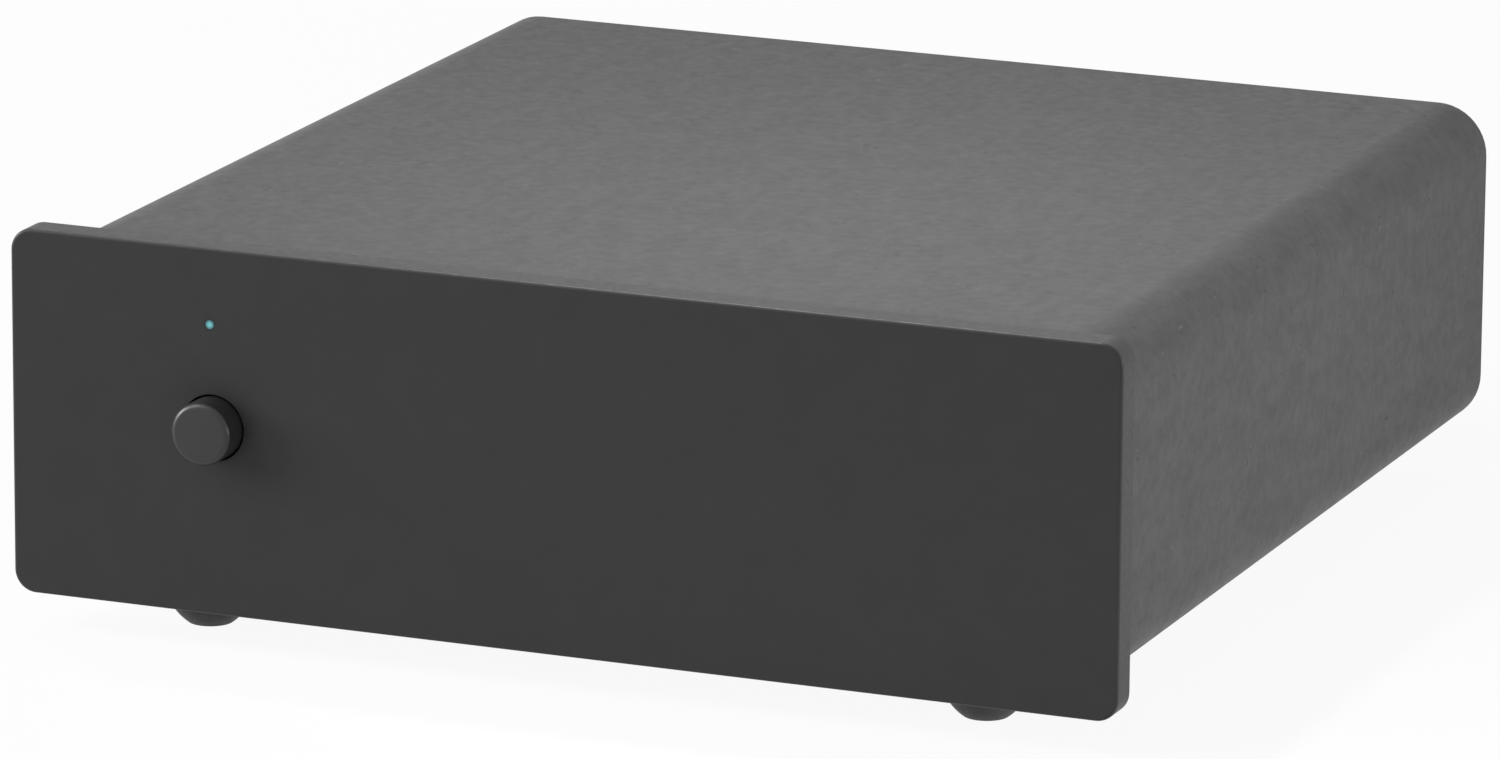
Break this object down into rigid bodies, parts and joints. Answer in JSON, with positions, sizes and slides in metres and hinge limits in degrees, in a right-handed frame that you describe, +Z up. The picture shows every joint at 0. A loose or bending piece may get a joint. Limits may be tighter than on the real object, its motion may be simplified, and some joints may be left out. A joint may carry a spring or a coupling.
{
  "type": "phono preamp",
  "caption": "Compact phono preamp: dark front panel with a power button and status light on an extruded case, sockets and ground terminal behind.",
  "frame": {"origin": "middle of the overall footprint, on the surface the feet stand on", "axes": "+X to the right seen from the front, +Y from the front panel to the rear, +Z up"},
  "size_m": [0.103, 0.119, 0.036],
  "materials": {
    "panel_coat": "satin dark coat",
    "case_coat": "fine textured coat",
    "rear_coat": "satin black coat",
    "bare_aluminium": "milled",
    "zinc_steel": "bright zinc",
    "black_steel": "black oxide",
    "foot_rubber": "matt",
    "button_coat": "satin dark coat",
    "white_plastic": "moulded",
    "red_plastic": "moulded",
    "black_plastic": "moulded",
    "clear_plastic": "clear",
    "lamp_plastic": "clear tinted",
    "nickel": "nickel plated",
    "gilt": "gold plated",
    "board_green": "solder mask",
    "dip_plastic": "moulded",
    "can_sleeve": "shrink sleeve",
    "film_plastic": "moulded",
    "chip_plastic": "moulded",
    "resistor_coat": "lacquer",
    "ferrite": "sintered"
  },
  "bodies": {
    "chassis": {"front_panel": "panel_coat", "front_carrier": "bare_aluminium", "case_sleeve": "case_coat", "rear_panel": "rear_coat", "front_panel_screws": "zinc_steel", "carrier_screws": "zinc_steel", "rear_panel_screws": "black_steel", "foot_front_left": "foot_rubber", "foot_front_right": "foot_rubber", "foot_rear_left": "foot_rubber", "foot_rear_right": "foot_rubber", "power_switch_body": "black_plastic", "switch_spring": "zinc_steel", "light_pipe": "clear_plastic", "status_led": "lamp_plastic", "led_bracket": "black_plastic", "led_legs": "zinc_steel", "input_jack_housing": "black_plastic", "output_jack_housing": "black_plastic", "power_jack_housing": "black_plastic", "power_jack_pin": "nickel", "power_jack_leaf": "nickel", "ground_stud": "nickel", "ground_tag": "zinc_steel", "ground_nut": "zinc_steel", "main_board": "board_green", "dip_block_left": "dip_plastic", "dip_block_right": "dip_plastic", "reservoir_capacitors": "can_sleeve", "film_capacitors": "film_plastic", "amplifier_chips": "chip_plastic", "resistors": "resistor_coat", "voltage_regulators": "chip_plastic", "rectifier_diodes": "chip_plastic", "supply_choke": "ferrite", "input_left_shell": "nickel", "input_left_insulator": "white_plastic", "input_left_contact": "gilt", "input_right_shell": "nickel", "input_right_insulator": "red_plastic", "input_right_contact": "gilt", "output_left_shell": "nickel", "output_left_insulator": "white_plastic", "output_left_contact": "gilt", "output_right_shell": "nickel", "output_right_insulator": "red_plastic", "output_right_contact": "gilt"},
    "power_button": {"power_button": "button_coat", "switch_plunger": "white_plastic"},
    "ground_washer": {"ground_washer": "nickel"},
    "ground_thumb_nut": {"ground_thumb_nut": "nickel"},
    "dip_lever_left_1": {"dip_lever_left_1": "white_plastic"},
    "dip_lever_left_2": {"dip_lever_left_2": "white_plastic"},
    "dip_lever_left_3": {"dip_lever_left_3": "white_plastic"},
    "dip_lever_left_4": {"dip_lever_left_4": "white_plastic"},
    "dip_lever_right_1": {"dip_lever_right_1": "white_plastic"},
    "dip_lever_right_2": {"dip_lever_right_2": "white_plastic"},
    "dip_lever_right_3": {"dip_lever_right_3": "white_plastic"},
    "dip_lever_right_4": {"dip_lever_right_4": "white_plastic"}
  },
  "joints": [
    {"name": "power_button_press", "type": "slide", "parent": "chassis", "child": "power_button", "axis": [0, 1, 0], "range_m": [0, 0.002], "stiffness_N_per_m": 400, "springref_m": -0.004, "deforming": ["switch_spring"]},
    {"name": "ground_washer_lift", "type": "slide", "parent": "chassis", "child": "ground_washer", "axis": [0, 1, 0], "range_m": [0, 0.0028]},
    {"name": "ground_nut_turn", "type": "hinge", "parent": "ground_washer", "child": "ground_thumb_nut", "pos_m": [0.0085, 0.047, 0.0197], "axis": [0, 1, 0], "range_deg": [0, 1441]},
    {"name": "dip_lever_left_1_slide", "type": "slide", "parent": "chassis", "child": "dip_lever_left_1", "axis": [0, 1, 0], "range_m": [0, 0.0013]},
    {"name": "dip_lever_left_2_slide", "type": "slide", "parent": "chassis", "child": "dip_lever_left_2", "axis": [0, 1, 0], "range_m": [0, 0.0013]},
    {"name": "dip_lever_left_3_slide", "type": "slide", "parent": "chassis", "child": "dip_lever_left_3", "axis": [0, 1, 0], "range_m": [0, 0.0013]},
    {"name": "dip_lever_left_4_slide", "type": "slide", "parent": "chassis", "child": "dip_lever_left_4", "axis": [0, 1, 0], "range_m": [0, 0.0013]},
    {"name": "dip_lever_right_1_slide", "type": "slide", "parent": "chassis", "child": "dip_lever_right_1", "axis": [0, 1, 0], "range_m": [0, 0.0013]},
    {"name": "dip_lever_right_2_slide", "type": "slide", "parent": "chassis", "child": "dip_lever_right_2", "axis": [0, 1, 0], "range_m": [0, 0.0013]},
    {"name": "dip_lever_right_3_slide", "type": "slide", "parent": "chassis", "child": "dip_lever_right_3", "axis": [0, 1, 0], "range_m": [0, 0.0013]},
    {"name": "dip_lever_right_4_slide", "type": "slide", "parent": "chassis", "child": "dip_lever_right_4", "axis": [0, 1, 0], "range_m": [0, 0.0013]}
  ],
  "couplings": [
    {"joint": "ground_nut_turn", "follows": "ground_washer_lift", "rad_per_m": 8976}
  ]
}
